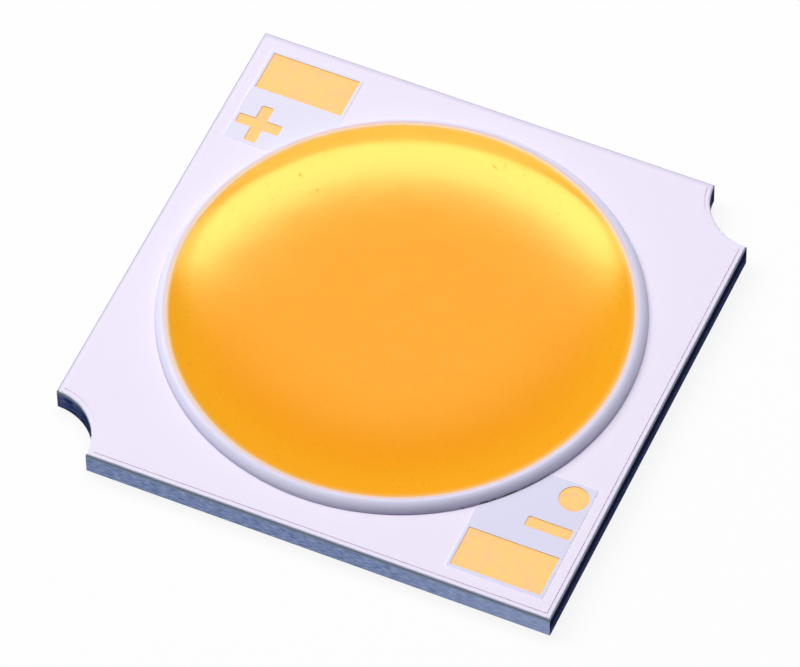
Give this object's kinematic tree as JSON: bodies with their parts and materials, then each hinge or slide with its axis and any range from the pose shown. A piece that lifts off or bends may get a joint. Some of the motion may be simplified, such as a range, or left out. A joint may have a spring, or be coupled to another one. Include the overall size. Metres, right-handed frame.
{
  "type": "chip-on-board LED light source",
  "caption": "Square aluminium board with a round phosphor-filled emitting area inside a white dam, gold solder pads in two corners and quarter-round notches in the other two.",
  "frame": {"origin": "centre of the board's back face, which rests on the heat sink", "axes": "+Z out of the board on the light-emitting side; +X along the long edges of the solder pads, towards the negative pad; the positive pad lies towards -X and +Y"},
  "size_m": [0.028, 0.028, 0.0019],
  "materials": {
    "aluminium": "rolled and punched aluminium",
    "white_resin": "matte white filled resin",
    "solder_mask": "matte white solder mask",
    "copper": "etched copper foil",
    "gold_plating": "nickel and gold plating",
    "white_silicone": "smooth white silicone",
    "phosphor_silicone": "glossy phosphor-filled silicone",
    "die_adhesive": "clear white silicone",
    "sapphire": "polished sapphire",
    "gold_wire": "drawn gold wire"
  },
  "bodies": {
    "root": {"base_plate": "aluminium", "insulator": "white_resin", "positive_track": "copper", "negative_track": "copper", "solder_mask": "solder_mask", "positive_pad": "gold_plating", "negative_pad": "gold_plating", "plus_mark": "gold_plating", "minus_mark": "gold_plating", "test_point": "gold_plating", "positive_bus_plating": "gold_plating", "negative_bus_plating": "gold_plating", "dam": "white_silicone", "phosphor": "phosphor_silicone", "die_adhesive_1": "die_adhesive", "die_adhesive_2": "die_adhesive", "die_adhesive_3": "die_adhesive", "die_adhesive_4": "die_adhesive", "die_adhesive_5": "die_adhesive", "die_adhesive_6": "die_adhesive", "die_adhesive_7": "die_adhesive", "die_adhesive_8": "die_adhesive", "die_adhesive_9": "die_adhesive", "die_adhesive_10": "die_adhesive", "die_adhesive_11": "die_adhesive", "die_adhesive_12": "die_adhesive", "die_string_1": "sapphire", "die_string_2": "sapphire", "die_string_3": "sapphire", "die_string_4": "sapphire", "die_string_5": "sapphire", "die_string_6": "sapphire", "die_string_7": "sapphire", "die_string_8": "sapphire", "die_string_9": "sapphire", "die_string_10": "sapphire", "die_string_11": "sapphire", "die_string_12": "sapphire", "bond_wires_1": "gold_wire", "bond_wires_2": "gold_wire", "bond_wires_3": "gold_wire", "bond_wires_4": "gold_wire", "bond_wires_5": "gold_wire", "bond_wires_6": "gold_wire", "bond_wires_7": "gold_wire", "bond_wires_8": "gold_wire", "bond_wires_9": "gold_wire", "bond_wires_10": "gold_wire", "bond_wires_11": "gold_wire", "bond_wires_12": "gold_wire"}
  },
  "joints": []
}
